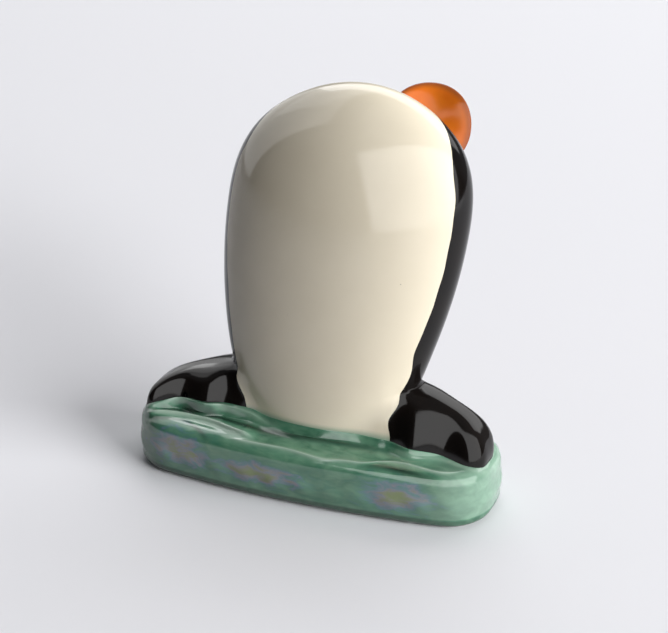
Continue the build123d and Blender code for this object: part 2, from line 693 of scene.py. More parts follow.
def add_piece(name: str, form: Form, finishes: list[Finish], nodes: list[str]) -> Piece:
    """Put a form into the scene as a piece that stands for CAD nodes.

    Args:
        name: Name of the piece.
        form: Closed mesh in millimetres.
        finishes: Finishes that the form's finish numbers stand for.
        nodes: CAD nodes that the piece replaces.

    Returns:
        The new object.
    """
    mesh = bpy.data.meshes.new(name)
    corners = form.triangles.size
    mesh.vertices.add(len(form.points))
    mesh.vertices.foreach_set("co", (form.points * MM).astype(np.float32).ravel())
    mesh.loops.add(corners)
    mesh.loops.foreach_set("vertex_index", form.triangles.astype(np.int32).ravel())
    mesh.polygons.add(len(form.triangles))
    mesh.polygons.foreach_set("loop_start", np.arange(0, corners, 3, dtype=np.int32))
    mesh.polygons.foreach_set("material_index", form.finish.astype(np.int32))
    mesh.polygons.foreach_set("use_smooth", np.ones(len(form.triangles), bool))
    shade = mesh.attributes.new(SHADE, "FLOAT", "POINT")
    shade.data.foreach_set("value", form.values.astype(np.float32))
    mesh.update(calc_edges=True)
    mesh.normals_split_custom_set_from_vertices(form.normals.tolist())
    for finish in finishes:
        mesh.materials.append(finish.material())
    piece = bpy.data.objects.new(name, mesh)
    bpy.context.scene.collection.objects.link(piece)
    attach(piece, BODY)
    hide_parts(*nodes)
    return piece


# SKIN OF THE BODY AND WINGS


@dataclass(frozen=True)
class Skin:
    """Outside of the body and both wings, as one surface round a leaning axis.

    A point has a rise above the slab and an angle round the axis. Angle 0 faces +X and -90 faces
    the belly's side, both read on the section's ellipse after it is scaled to a circle. A pair
    holds a value for the left wing and one for the right.
    """

    slab_top: float = 9.0
    rise: float = 52.0
    half_width: float = 19.45
    half_depth: float = 9.4
    width_shares: Knots = ((0.0, 0.602), (0.31, 0.897), (0.615, 1.0), (0.868, 0.807), (1.0, 0.0))
    setback: float = 1.1
    side_start: float = -1.0
    lean: float = 12.0
    side_lean: float = 4.5
    turn: float = -3.5
    wing_reach: float = 27.4
    wing_shift: float = 0.45
    wing_rise: Pair = (8.3, 9.05)
    wing_half_thickness: float = 4.7
    wing_crest: Pair = (0.95, 0.265)
    wing_blunt: Pair = (4.0, 2.0)
    wing_sweep: Pair = (3.9, 1.2)
    wing_sweep_power: int = 4
    wing_squareness: float = 4.0
    wing_wall: float = 2.5
    wing_edge: float = 0.5
    wing_lump: float = 0.14
    wing_lump_start: float = 0.42
    wing_lump_place: float = 0.62
    wing_lump_spacing: float = 0.36
    wing_turn_share: float = 0.3
    wing_fade: float = 11.0
    wing_fade_power: int = 6
    fillet_low: float = 0.2
    fillet_high: float = 0.55
    fillet_start_share: float = 0.4
    normal_step: float = 0.001
    gap_step: float = 0.01
    gap_least_slope: float = 0.01

    def girth(self, rise: Array) -> Array:
        """Half width of the body at a rise: the root of a spline through its squared shares."""
        squares = tuple((share, width**2) for share, width in self.width_shares)
        return self.half_width * np.sqrt(np.maximum(spline(squares, rise / self.rise), 0))

    def axis(self, rise: Array) -> tuple[Array, Array]:
        """Place of the leaning axis at a rise, across and to the back."""
        across, back = np.tan(np.radians([self.side_lean, self.lean]))
        return self.side_start + rise * across, self.setback + rise * back

    def beside(self, rise: float, shift: float, setback: float) -> Array:
        """Point beside the axis at a rise, by a shift across and a setback."""
        across, back = self.axis(np.array(rise))
        return np.array([across + shift, back + setback, self.slab_top + rise])

    def turned(self, right: Array, rear: Array, way: int) -> tuple[Array, Array]:
        """Turn places with the body, or back again.

        Args:
            right: Places across.
            rear: Places to the back.
            way: 1 to turn with the body, or -1 to turn back.

        Returns:
            The places after the turn.
        """
        turn = np.radians(way * self.turn)
        cosine, sine = np.cos(turn), np.sin(turn)
        return right * cosine - rear * sine, right * sine + rear * cosine

    def swell(self, angle: Array, rise: Array) -> Array:
        """Distance of the surface from the axis, as a share of the body's own ellipse.

        The body is 1 all round. A wing is a squared-off ellipse whose reach and thickness shrink
        with its height, and the larger of the two is taken with a rounded corner between them.
        The corner grows wider up the wing.

        Args:
            angle: Angle round the axis, in radians on the scaled section.
            rise: Rise above the slab.

        Returns:
            Share at each angle and rise.
        """
        width = np.maximum(self.girth(rise), TINY)
        depth = width * self.half_depth / self.half_width
        on_right = np.cos(angle) > 0
        top = pick(self.wing_rise, on_right)
        height = np.maximum(rise, 0) / top
        below_top = np.clip(1 - height ** pick(self.wing_blunt, on_right), TINY, 1)
        reach = self.wing_reach * below_top ** pick(self.wing_crest, on_right) / width
        upright = np.clip(1 - height**self.wing_wall, TINY, 1)
        thickness = self.wing_half_thickness * upright**self.wing_edge / depth
        power = self.wing_squareness
        out, behind = np.abs(np.cos(angle) / reach), np.abs(np.sin(angle) / thickness)
        wing = (out**power + behind**power) ** (-1 / power)
        widening = ease(self.fillet_start_share * top, top, rise)
        fillet = self.fillet_low + (self.fillet_high - self.fillet_low) * widening
        near = np.maximum(fillet - np.abs(1 - wing), 0)
        return np.maximum(1, wing) + near**2 / (4 * fillet)

    def bend(self, out: Array, fade: Array) -> tuple[Array, Array]:
        """Shift of the wings, across and to the back, at a distance out along them.

        The shift across grows with the square of the reach and brings both tips to the middle of
        the slab. The shift to the back is a forward sweep that grows with a higher power of it,
        and takes back most of the body's turn.

        Args:
            out: Distance out from the axis.
            fade: Share of the bend, which dies away above the wings.

        Returns:
            The two shifts.
        """
        reach = out / self.wing_reach
        unturn = np.tan(np.radians(self.turn)) * (1 - self.wing_turn_share)
        across = (self.wing_shift - self.side_start) * reach**2
        sweep = pick(self.wing_sweep, out > 0)
        back = -sweep * reach**self.wing_sweep_power - unturn * out * reach**2
        return across * fade, back * fade

    def lump(self, out: Array) -> Array:
        """Share by which a wing thickens: a cosine wave along it that eases in from its root.

        Args:
            out: Distance out from the axis.

        Returns:
            Share at each distance.
        """
        along = np.abs(out) / self.wing_reach
        wave = np.cos(2 * np.pi * (along - self.wing_lump_place) / self.wing_lump_spacing)
        return self.wing_lump * ease(self.wing_lump_start, self.wing_lump_place, along) * wave

    def points(self, angle: Array, rise: Array) -> Array:
        """Points of the surface at angles and rises.

        The section's ellipse is stretched by the swell and bent where it reaches out to a wing,
        whose thickness rises and falls in a wave along it. It is then turned with the body and
        carried to the axis.

        Args:
            angle: Angle round the axis, in radians on the scaled section.
            rise: Rise above the slab.

        Returns:
            Points, with their coordinates on the last axis.
        """
        reach = self.girth(rise) * self.swell(angle, rise)
        out = reach * np.cos(angle)
        behind = reach * self.half_depth / self.half_width * np.sin(angle)
        fade = 1 / (1 + (np.maximum(rise, 0) / self.wing_fade) ** self.wing_fade_power)
        behind = behind * (1 + fade * self.lump(out))
        across, back = self.bend(out, fade)
        right, rear = self.turned(out + across, behind + back, 1)
        axis_x, axis_y = self.axis(rise)
        return np.stack([axis_x + right, axis_y + rear, self.slab_top + rise + 0 * angle], axis=-1)

    def normals(self, angle: Array, rise: Array) -> Array:
        """Outward normals, from the cross product of small steps in angle and rise.

        Args:
            angle: Angle round the axis, in radians on the scaled section.
            rise: Rise above the slab. A rise at the apex is read just below it.

        Returns:
            Normal at each angle and rise.
        """
        small = self.normal_step
        rise = np.minimum(rise, self.rise - 4 * small)
        round_step = self.points(angle + small, rise) - self.points(angle - small, rise)
        up_step = self.points(angle, rise + small) - self.points(angle, rise - small)
        return unit(np.cross(round_step, up_step))

    def past(self, x: Array, y: Array, rise: float) -> Array:
        """Share by which places on a level lie past the surface, on the scaled section.

        Each place is turned back with the body and straightened, as the wings were bent, and its
        distance from the axis is set against the swell at its angle.

        Args:
            x: Places across.
            y: Places to the back.
            rise: Rise of the level above the slab.

        Returns:
            Share at each place, negative inside the surface.
        """
        level = np.array(rise)
        axis_x, axis_y = self.axis(level)
        right, rear = self.turned(x - axis_x, y - axis_y, -1)
        across, back = self.bend(right, np.array(1.0))
        width = self.girth(level)
        right = right - across
        rear = (rear - back) / (1 + self.lump(right)) / (width * self.half_depth / self.half_width)
        right = right / width
        return np.hypot(right, rear) - self.swell(np.arctan2(rear, right), level)

    def gap(self, x: Array, y: Array, rise: float) -> Array:
        """Distance from places on a level to the surface there, negative inside it.

        The share that a place lies past the surface is divided by its own slope, which gives the
        true distance close to the surface.

        Args:
            x: Places across.
            y: Places to the back.
            rise: Rise of the level above the slab.

        Returns:
            Distance at each place.
        """
        small = self.gap_step
        slope_x = (self.past(x + small, y, rise) - self.past(x - small, y, rise)) / (2 * small)
        slope_y = (self.past(x, y + small, rise) - self.past(x, y - small, rise)) / (2 * small)
        slope = np.maximum(np.hypot(slope_x, slope_y), self.gap_least_slope)
        return self.past(x, y, rise) / slope


@dataclass(frozen=True)
class Penguin:
    """Body and wings: the skin cut into its glazed pieces along the painted border.

    A border holds rises and angles. The waver of the brush is a sum of sines, each with its share,
    its rate along the rise and its start.
    """

    skin: Skin = Skin()
    sunk: float = 1.0
    wall: float = 2.2
    border_left: Knots = (
        (0.0, -46.0), (2.4, -44.0), (4.4, -39.2), (6.2, -33.0), (8.7, -29.5), (11.9, -30.2),
        (21.0, -28.8), (27.0, -26.0), (33.0, -24.0), (39.0, -22.0),
    )
    border_right: Knots = (
        (0.0, -36.0), (2.5, -34.8), (5.0, -33.8), (7.1, -28.6), (9.4, -24.0), (12.4, -23.2),
        (15.6, -27.2), (18.5, -25.8), (27.3, -23.0), (33.3, -21.8), (39.0, -20.6),
    )
    arch_start: float = 39.0
    arch_top: float = 49.5
    arch_power: float = 2.9
    brush_waver: float = 0.35
    brush_waves: tuple[Triple, ...] = ((1.0, 0.5, 0.0), (0.6, 1.13, 1.0))
    stain_low: float = 1.7
    stain_high: float = 3.0
    wing_top: float = 14.0
    wing_share: float = 0.7
    rows_below: int = 190
    rows_above: int = 50
    bunching_below: float = 1.35
    bunching_above: float = 2.0
    belly_columns: int = 160
    back_columns: int = 240
    back_bunching_share: float = 0.5

    def rises(self) -> Array:
        """Space out the rows of the grid, closer together towards the arch and the rump.

        Returns:
            Rise of each row, as a column.
        """
        below = 1 - (1 - np.linspace(0, 1, self.rows_below)) ** self.bunching_below
        above = 1 - (1 - np.linspace(0, 1, self.rows_above)) ** self.bunching_above
        lower = -self.sunk + (self.arch_top + self.sunk) * below
        upper = self.arch_top + (self.skin.rise - self.arch_top) * above
        return np.concatenate([lower, upper[1:]])[:, None]

    def border(self, rise: Array, knots: Knots) -> Array:
        """Angle of the border between white and black, up from the belly's side, in radians.

        It follows a spline up the side with the waver of a brush. Over the rump it follows a
        quarter of a squared circle up to the middle of the back, so the white closes over the top.

        Args:
            rise: Rise above the slab.
            knots: Pairs of rise and angle on this side.

        Returns:
            Angle at each rise.
        """
        waver = sum(share * np.sin(rate * rise + start) for share, rate, start in self.brush_waves)
        side = spline(knots, rise) + self.brush_waver * waver
        up = np.clip((rise - self.arch_start) / (self.arch_top - self.arch_start), 0, 1)
        arch = 1 - np.maximum(1 - up**self.arch_power, 0) ** (1 / self.arch_power)
        return np.radians(side + (90 - side) * arch)

    def sheet(self, angles: Array, rises: Array) -> tuple[Array, Array, Array]:
        """Lay a grid on the skin.

        Args:
            angles: Angle of each column at each row.
            rises: Rise of each row.

        Returns:
            Points, normals and vertex numbers of the grid.
        """
        level = rises + 0 * angles
        numbers = np.arange(angles.size).reshape(angles.shape)
        return self.skin.points(angles, level), self.skin.normals(angles, level), numbers

    def build(self) -> list[Piece]:
        """Make the belly, the back and the two wings.

        The belly's columns run from border to border round the front, and close on themselves
        above the border's arch. The back's run on round the back, and the ends of its low rows
        are the wings.

        Returns:
            The pieces.
        """
        rises = self.rises()
        right = self.border(rises, self.border_right)
        left = np.pi - self.border(rises, self.border_left)
        arch_row = self.rows_below - 1

        spread = np.linspace(0, 1, self.belly_columns)
        angles = left - 2 * np.pi + (right - left + 2 * np.pi) * spread
        points, normals, numbers = self.sheet(angles, rises)
        numbers[arch_row:, -1] = numbers[arch_row:, 0]
        numbers[-1] = numbers[-1, 0]
        stain = 1 - ease(self.stain_low, self.stain_high, rises + 0 * angles)
        belly = thicken(patch(points, normals, [numbers], stain), self.wall)
        pieces = [add_piece("belly_glazed", belly, [WHITE], ["belly_shell"])]

        even = np.linspace(-1, 1, self.back_columns)
        bunched = even + self.back_bunching_share * (np.sin(np.pi / 2 * even) - even)
        across = (1 + bunched) / 2
        points, normals, numbers = self.sheet(right + (left - right) * across, rises)
        wing_row = int(np.searchsorted(rises[:, 0], self.wing_top))
        wing_column = int(np.searchsorted(across, self.wing_share / 2))
        mirror_column = self.back_columns - 1 - wing_column
        low = numbers[: wing_row + 1]
        above = numbers[wing_row : arch_row + 1]
        for name, node, blocks in (
            ("back_glazed", "back_shell", [above, low[:, wing_column : mirror_column + 1]]),
            ("right_wing_glazed", "right_wing", [low[:, : wing_column + 1]]),
            ("left_wing_glazed", "left_wing", [low[:, mirror_column:]]),
        ):
            shell = thicken(patch(points, normals, blocks), self.wall)
            pieces.append(add_piece(name, shell, [BLACK], [node]))
        return pieces


# SLAB OF WATER


@dataclass(frozen=True)
class Ridge:
    """Wave crest pinched along the front of the slab's top.

    The insets give how far the crest lies behind the slab's edge at places across. The shelf is
    how high the water stays behind the crest.
    """

    insets: Knots
    height: float
    shelf: float
    width: float
    # Pale line along the crest: thin glaze with a painted highlight
    highlight_paleness: float
    end_fade: float = 3.0
    peak_power: float = 1.3

    def along(self, x: Array) -> Array:
        """Share of the crest at places across, which fades out towards its ends."""
        start, end = self.insets[0][0], self.insets[-1][0]
        return ease(start, start + self.end_fade, x) * (1 - ease(end - self.end_fade, end, x))

    def across(self, x: Array, depth: Array) -> Array:
        """Bell curve across the crest."""
        away = (depth - spline(self.insets, x)) / self.width
        return self.along(x) * bell(away, self.peak_power)

    def lift(self, x: Array, depth: Array) -> Array:
        """Height of the wave: a bell curve over a step up to its shelf."""
        shelf = self.shelf * ease(-self.width, self.width, depth - spline(self.insets, x))
        return self.along(x) * shelf + (self.height - self.shelf / 2) * self.across(x, depth)


@dataclass(frozen=True)
class PoolAndShade:
    """Line darkened by gathered molten glaze and by painted shade in a valley or dent, with its
    darkness at places across.
    """

    insets: Knots
    darkening: Knots
    width: float

    def across(self, x: Array, depth: Array) -> Array:
        """How dark the line is from pooled glaze and painted shade, from 0 to 1: a bell curve
        across it.
        """
        pooled_and_shaded = np.clip(spline(self.darkening, x), 0, 1)
        return pooled_and_shaded * bell((depth - spline(self.insets, x)) / self.width)


def at_heights(flat: Array, heights: Array) -> Array:
    """Rings of points from places on the flat.

    Args:
        flat: Places of one ring for all heights, or of a ring for each.
        heights: Height of each ring, as a column.

    Returns:
        Grid of points, whose rows are the rings.
    """
    level = np.broadcast_to(heights, (len(heights), flat.shape[-2]))
    flat = np.broadcast_to(flat, (*level.shape, 2))
    return np.concatenate([flat, level[..., None]], axis=-1)


@dataclass(frozen=True)
class Water:
    """Slab of water and the swell that rises from it against the body and the wings."""

    skin: Skin = Skin()
    length: float = 57.4
    end_depth: float = 15.2
    bow: float = 2.5
    height: float = 9.0
    corner: float = 5.5
    corner_easing: float = 2.5
    foot_round: float = 1.4
    # Painted shadow along the slab's rounded foot, where it meets the floor
    foot_painted_shadow: float = 0.15
    bare_share: float = 0.05
    vent_radius: float = 1.8
    vent_setback: float = 3.0
    vent_depth: float = 8.0
    side_bulge: float = 0.15
    side_lumps: float = 0.12
    side_lump_rates: Pair = (0.55, 0.8)
    side_lump_starts: Pair = (1.0, -0.4)
    side_lump_climb: float = 3.0
    rim_inset: float = 2.6
    roll: float = 2.8
    roll_power: float = 2.6
    front_turn: Pair = (0.2, 0.9)
    ridges: tuple[Ridge, ...] = (
        Ridge(
            insets=(
                (-12.0, 1.2), (-5.4, 1.45), (-2.1, 1.5), (1.3, 1.2), (4.6, 1.0), (7.5, 1.35),
                (10.7, 1.65), (13.3, 2.6), (15.6, 2.75), (18.1, 2.4), (20.5, 1.9), (22.8, 1.75),
                (25.5, 2.0),
            ),
            height=0.16,
            shelf=0.0,
            width=0.25,
            highlight_paleness=0.45,
        ),
        Ridge(
            insets=(
                (-29.0, 0.6), (-25.9, 0.9), (-24.4, 1.95), (-22.0, 3.2), (-19.5, 3.7),
                (-16.9, 3.85), (-14.1, 3.5), (-11.8, 2.95), (-7.0, 2.2),
            ),
            height=0.7,
            shelf=0.4,
            width=0.5,
            highlight_paleness=0.5,
        ),
    )
    ridge_start: float = 1.2
    # Lines darkened by pooled glaze and by painted shade: the valley beside the body and the dents
    # under the crests
    pools_and_shade: tuple[PoolAndShade, ...] = (
        PoolAndShade(
            insets=(
                (-26.5, 1.9), (-23.8, 3.2), (-21.1, 4.5), (-18.6, 4.9), (-16.1, 5.2),
                (-13.4, 5.1), (-10.7, 4.8), (-7.9, 4.7), (-1.2, 4.5), (5.9, 4.9), (14.0, 5.0),
            ),
            darkening=(
                (-27.5, 0.0), (-25.0, 0.6), (-22.0, 1.0), (-15.0, 1.0), (-9.0, 0.85),
                (6.0, 0.75), (16.0, 0.1),
            ),
            width=0.6,
        ),
        PoolAndShade(
            insets=(
                (-28.5, 0.5), (-25.8, 0.85), (-23.9, 1.4), (-21.5, 2.3), (-18.9, 2.3),
                (-16.6, 1.3), (-15.0, 0.5),
            ),
            darkening=(
                (-28.7, 0.2), (-25.8, 0.9), (-23.9, 0.8), (-20.0, 0.55), (-16.6, 0.7),
                (-15.0, 0.3), (-14.0, 0.0),
            ),
            width=0.45,
        ),
        PoolAndShade(
            insets=((9.5, 0.9), (13.8, 1.4), (16.1, 1.2), (18.5, 0.95), (21.0, 0.7), (23.0, 0.5)),
            darkening=((9.5, 0.0), (12.0, 0.5), (15.0, 0.9), (19.0, 0.8), (22.0, 0.3), (23.0, 0.0)),
            width=0.5,
        ),
    )
    top_inset: float = 7.4
    cap_share: float = 0.8
    collar_heights: Knots = (
        (-28.7, 0.5), (-22.0, 1.5), (-12.0, 1.8), (0.0, 2.1), (12.0, 1.8), (19.0, 1.3),
        (24.0, 0.4), (28.7, 0.0),
    )
    collar_start: float = 1.6
    collar_spread: float = 0.8
    collar_lips: Knots = ((-28.7, 1.0), (-14.0, 1.0), (-7.0, 0.1), (10.0, 0.0), (28.7, 0.0))
    collar_lip: float = 0.5
    collar_foot: float = 1.05
    collar_rise: float = 1.2
    # Painted highlight along the collar, stronger on the lip beside the wings
    collar_highlight: float = 0.1
    lip_highlight: float = 0.2
    lip_width: float = 0.3
    # Painted light: the slab's right end, the side that faces the main lamp, is paled from here to
    # its tip
    lit_end_from: float = 15.0
    lit_end_paleness: float = 0.18
    wall: float = 1.6
    columns: int = 480
    vent_rows: int = 4
    underside_rows: int = 7
    foot_rows: int = 7
    side_rows: int = 13
    roll_rows: int = 39
    top_rows: int = 89
    slab_top_rows: int = 30

    def outline(self) -> tuple[Array, Array]:
        """Path round the slab from above, anticlockwise from the middle of the front.

        Its heading is level along each side and turns evenly through each corner, then a bell
        curve along the path softens the changes. The path is the running sum of its steps,
        stretched to the slab's length and end depth, and bowed out by a parabola along its
        length.

        Returns:
            Points of the path and its outward normals.
        """
        bend = np.pi / 2 * self.corner
        half_side = self.length / 2 - self.corner
        end = self.end_depth - 2 * self.corner
        runs = [half_side, bend, end, bend, 2 * half_side, bend, end, bend, half_side]
        knots = np.concatenate([[0], np.cumsum(runs)])
        turns = np.repeat(np.arange(5), 2) * np.pi / 2
        along = (np.arange(self.columns) + 0.5) / self.columns * knots[-1]
        even = along / knots[-1] * 2 * np.pi
        waves = np.fft.rfftfreq(self.columns, knots[-1] / self.columns)
        soft = np.exp(-2 * (np.pi * waves * self.corner_easing / 2) ** 2)
        uneven = np.fft.rfft(np.interp(along, knots, turns) - even)
        heading = even + np.fft.irfft(uneven * soft, self.columns)
        path = np.cumsum(np.stack([np.cos(heading), np.sin(heading)], axis=1), axis=0)
        low, high = path.min(axis=0), path.max(axis=0)
        path = (path - (low + high) / 2) / (high - low) * np.array([self.length, self.end_depth])
        share = 1 - (2 * path[:, 0] / self.length) ** 2
        path[:, 1] *= 1 + 2 * self.bow / self.end_depth * share
        step = unit(np.roll(path, -1, axis=0) - np.roll(path, 1, axis=0))
        return path, np.stack([step[:, 1], -step[:, 0]], axis=1)

    def under(self, path: Array, out: Array) -> Array:
        """Rings down the vent's wall from its lid, out along the underside and round the foot.

        The vent's rings are circles, the underside runs straight from them to the outline, and
        the foot is a quarter of a circle.

        Args:
            path: Outline of the slab.
            out: Outward normals of the outline.

        Returns:
            Grid of points.
        """
        middle = np.array([0, self.vent_setback])
        around = np.arctan2(path[:, 1] - self.vent_setback, path[:, 0])
        vent = self.vent_radius * np.stack([np.cos(around), np.sin(around)], axis=1) + middle
        down = np.linspace(1, 0, self.vent_rows)[:, None]
        share = steps(self.underside_rows)
        spread = vent + share[..., None] * (path - self.foot_round * out - vent)
        turn = np.pi / 2 * steps(self.foot_rows)
        inset = self.foot_round * (1 - np.sin(turn))
        return np.concatenate(
            [
                at_heights(middle + 0 * vent, np.array([[self.vent_depth]])),
                at_heights(vent, down * self.vent_depth),
                at_heights(spread, 0 * share),
                at_heights(path - inset[..., None] * out, self.foot_round * (1 - np.cos(turn))),
            ]
        )

    def side(self, path: Array, out: Array) -> Array:
        """Rings up the side, which bulges out by a squared sine and is lumpy along its length.

        Args:
            path: Outline of the slab.
            out: Outward normals of the outline.

        Returns:
            Grid of points.
        """
        climb = steps(self.side_rows)
        rates, starts = self.side_lump_rates, self.side_lump_starts
        first, second = (rate * path[:, 0] + start for rate, start in zip(rates, starts))
        lumps = np.sin(first) * np.sin(second + self.side_lump_climb * climb)
        bulge = (self.side_bulge + self.side_lumps * lumps) * np.sin(np.pi * climb) ** 2
        height = self.foot_round + climb * (self.height - self.roll - self.foot_round)
        return at_heights(path + bulge[..., None] * out, height)

    def crown(self, path: Array, out: Array) -> tuple[Array, Array]:
        """Rings over the rim's roll and across the top, lifted by the relief.

        The roll is a quarter of a squared-off ellipse. The lift points outwards at the foot of the
        roll and turns upwards over it.

        Args:
            path: Outline of the slab.
            out: Outward normals of the outline.

        Returns:
            Grid of points, and the value at each for pooled glaze, painted shade and painted
            highlight.
        """
        over = np.pi / 2 * steps(self.roll_rows)
        power = 2 / self.roll_power
        roll_depth = self.rim_inset * (1 - np.abs(np.cos(over)) ** power)
        roll_height = self.height - self.roll + self.roll * np.sin(over) ** power
        top_depth = self.rim_inset + (self.top_inset - self.rim_inset) * steps(self.top_rows)
        depth = np.concatenate([roll_depth, top_depth])
        height = np.concatenate([roll_height, self.height + 0 * top_depth])
        crown = at_heights(path - depth[..., None] * out, height)
        lift, shade = self.relief(crown, depth, ease(*self.front_turn, -out[:, 1]))
        lean = np.concatenate([np.cos(over), 0 * top_depth])
        crown[..., 2] += lift * np.sqrt(1 - lean**2)
        crown[..., :2] += (lift * lean)[..., None] * out
        return crown, shade

    def relief(self, crown: Array, depth: Array, front: Array) -> tuple[Array, Array]:
        """Lift of the slab's crown, and the value for pooled glaze, painted shade and painted
        highlight.

        The lift is the sum of the ridges and of a collar, which dies away with an exponential of
        the distance from the belly and eases down from a level lip beside the wings. The value is
        0 where the glaze pools and painted shade darkens it, 0.5 on the plain and 1 on a crest,
        which carries a painted highlight, as the collar's lip does.

        Args:
            crown: Grid of points from the side's top to the cap.
            depth: Inset of each row.
            front: Share by which each column lies on the front.

        Returns:
            Lift and value at each point.
        """
        x = crown[..., 0]
        gap = self.skin.gap(x, crown[..., 1], self.collar_rise)
        lift = np.zeros(x.shape)
        shade = np.full(x.shape, PLAIN)
        # Each crest lifts the value with a painted highlight over its thin glaze
        for ridge in self.ridges:
            lift += front * ridge.lift(x, depth) * ease(0, self.ridge_start, depth)
            shade += front * ridge.highlight_paleness * ridge.across(x, depth)
        # Each line darkens the value with pooled glaze and painted shade
        for pool_and_shade in self.pools_and_shade:
            shade -= PLAIN * front * pool_and_shade.across(x, depth)
        lipped = front * spline(self.collar_lips, x)
        lip = 1 - ease(self.collar_lip, self.collar_foot, gap)
        fillet = np.exp(-np.maximum(gap, 0) / self.collar_spread)
        collar = lipped * lip + (1 - lipped) * fillet
        lift += spline(self.collar_heights, x) * collar * ease(0, self.collar_start, depth)
        # Painted highlight along the collar's lip
        highlight_paleness = self.collar_highlight + self.lip_highlight * lipped
        shade += highlight_paleness * bell((gap - self.collar_lip) / self.lip_width)
        return lift, np.clip(shade, 0, 1)

    def build(self) -> list[Piece]:
        """Make the slab and the swell from one run of rings.

        The rings go down the vent's wall, out along the underside, up the side, over the rim's
        roll, across the ridges and up the collar to the body, where a cap closes them.

        Returns:
            The pieces.
        """
        path, out = self.outline()
        under, side = self.under(path, out), self.side(path, out)
        crown, shade = self.crown(path, out)
        cap = at_heights(path * [self.cap_share, 0], np.array([[self.height]]))
        rings = np.concatenate([under, side, crown, cap])
        start = len(under) + len(side)
        values = np.full(rings.shape[:2], PLAIN)
        # Painted shadow: the foot's rings are darkened towards the pooled and shaded colour
        values[len(under) - self.foot_rows : len(under)] = self.foot_painted_shadow
        values[start : start + len(crown)] = shade
        # Painted light paling the right end, which faces the main lamp
        tinted = self.lit_end_paleness * ease(self.lit_end_from, self.length / 2, rings[..., 0])
        values = np.clip(values + tinted, 0, 1)
        normals = ring_normals(rings)
        numbers = ring_numbers(len(rings), self.columns, (True, False))
        split = start + self.roll_rows + self.slab_top_rows
        slab = patch(rings, normals, [numbers[: split + 1]], values)
        swell = patch(rings, normals, [numbers[split:]], values)
        height = slab.points[slab.triangles].mean(axis=1)[:, 2]
        slab.finish[height < self.bare_share * self.foot_round] = 1
        return [
            add_piece(name, thicken(form, self.wall), finishes, [node])
            for name, node, form, finishes in (
                ("water_slab_glazed", "base_slab", slab, [LUSTRE, CLAY]),
                ("water_swell_glazed", "water_swell", swell, [LUSTRE]),
            )
        ]


# FEET, TAIL AND COIL


@dataclass(frozen=True)
class Foot:
    """Paddle foot on the back: a cupped pad with three soft webs and a rounded edge."""

    side: Side
    rise: float
    skin: Skin = Skin()
    width: float = 12.8
    length: float = 13.4
    thickness: float = 2.8
    cup: float = 1.3
    cup_level: float = 0.6
    web: float = 0.7
    webs: int = 3
    edge_power: float = 0.85
    edge_from: float = 0.8
    spread: float = 7.9
    setback: float = 9.4
    turn: float = 15.0
    tilt: float = 35.0
    rows: int = 80
    columns: int = 140

    def build(self) -> list[Piece]:
        """Make the foot.

        Round the pad's plane the outline is an ellipse. From the front of the pad to its back the
        radius is a power of a sine and the height the same power of a cosine, which gives a flat
        face with a rounded edge. The square of the radius lifts the rim into a cup, and a wave of
        three turns round the pad lifts it into webs.

        Returns:
            The piece.
        """
        over = np.linspace(np.pi, 0, self.rows)[:, None]
        angle = np.linspace(0, 2 * np.pi, self.columns, endpoint=False)[None]
        radius = np.abs(np.sin(over)) ** self.edge_power
        radius[[0, -1]] = 0
        lift = np.sign(np.cos(over)) * np.abs(np.cos(over)) ** self.edge_power
        across = self.width / 2 * radius * np.cos(angle)
        along = self.length / 2 * radius * np.sin(angle)
        webs = self.web * radius**2 * np.cos(self.webs * angle - np.pi / 2)
        up = self.thickness / 2 * lift + self.cup * (radius**2 - self.cup_level) + webs
        turn, tilt = np.radians([self.side.value * self.turn, self.tilt])
        right = np.array([np.cos(turn), np.sin(turn), 0])
        ahead = np.array([np.sin(turn), -np.cos(turn), 0])
        facing = np.cos(tilt) * ahead + np.array([0, 0, np.sin(tilt)])
        centre = self.skin.beside(self.rise, self.side.value * self.spread, self.setback)
        points = carried(centre, (across, right), (along, np.cross(facing, right)), (up, facing))
        edge = np.broadcast_to(ease(self.edge_from, 1, radius), points.shape[:2])
        node = f"{self.side.name.lower()}_foot"
        return [add_piece(f"{node}_glazed", bead(points, edge), [ORANGE], [node])]


@dataclass(frozen=True)
class Tail:
    """Short tail wedge that lies up the back between the feet."""

    skin: Skin = Skin()
    width: float = 9.0
    thickness: float = 4.4
    length: float = 11.5
    tip_share: float = 0.35
    round_share: float = 0.12
    rise: float = 37.1
    setback: float = 8.6
    shift: float = -6.1
    lean: float = 9.0
    rows: int = 60
    columns: int = 96

    def build(self) -> list[Piece]:
        """Make the tail: an ellipse that shrinks along a leaning line, with rounded ends.

        Returns:
            The piece.
        """
        along = (1 - np.cos(np.linspace(0, np.pi, self.rows)))[:, None] / 2
        angle = np.linspace(0, 2 * np.pi, self.columns, endpoint=False)[None]
        taper = 1 - (1 - self.tip_share) * along
        closing = np.clip(np.minimum(along, 1 - along) / self.round_share, 0, 1)
        girth = taper * np.sqrt(1 - (1 - closing) ** 2)
        cosine, sine = np.cos(np.radians(self.lean)), np.sin(np.radians(self.lean))
        points = carried(
            self.skin.beside(self.rise, self.shift, self.setback),
            (self.length * along, np.array([0, sine, cosine])),
            (self.thickness / 2 * girth * np.sin(angle), np.array([0, cosine, -sine])),
            (self.width / 2 * girth * np.cos(angle), np.array([1, 0, 0])),
        )
        return [add_piece("tail_glazed", bead(points), [BLACK], ["tail"])]


@dataclass(frozen=True)
class SeamCoil:
    """Clay coil inside the body, which stays as its CAD node."""

    node: str = "seam_coil"

    def build(self) -> list[Piece]:
        """Give the coil its finish.

        Returns:
            The piece.
        """
        coil = bpy.data.objects[self.node]
        coil.data.materials.clear()
        coil.data.materials.append(CLAY.material())
        return [coil]


# STUDIO


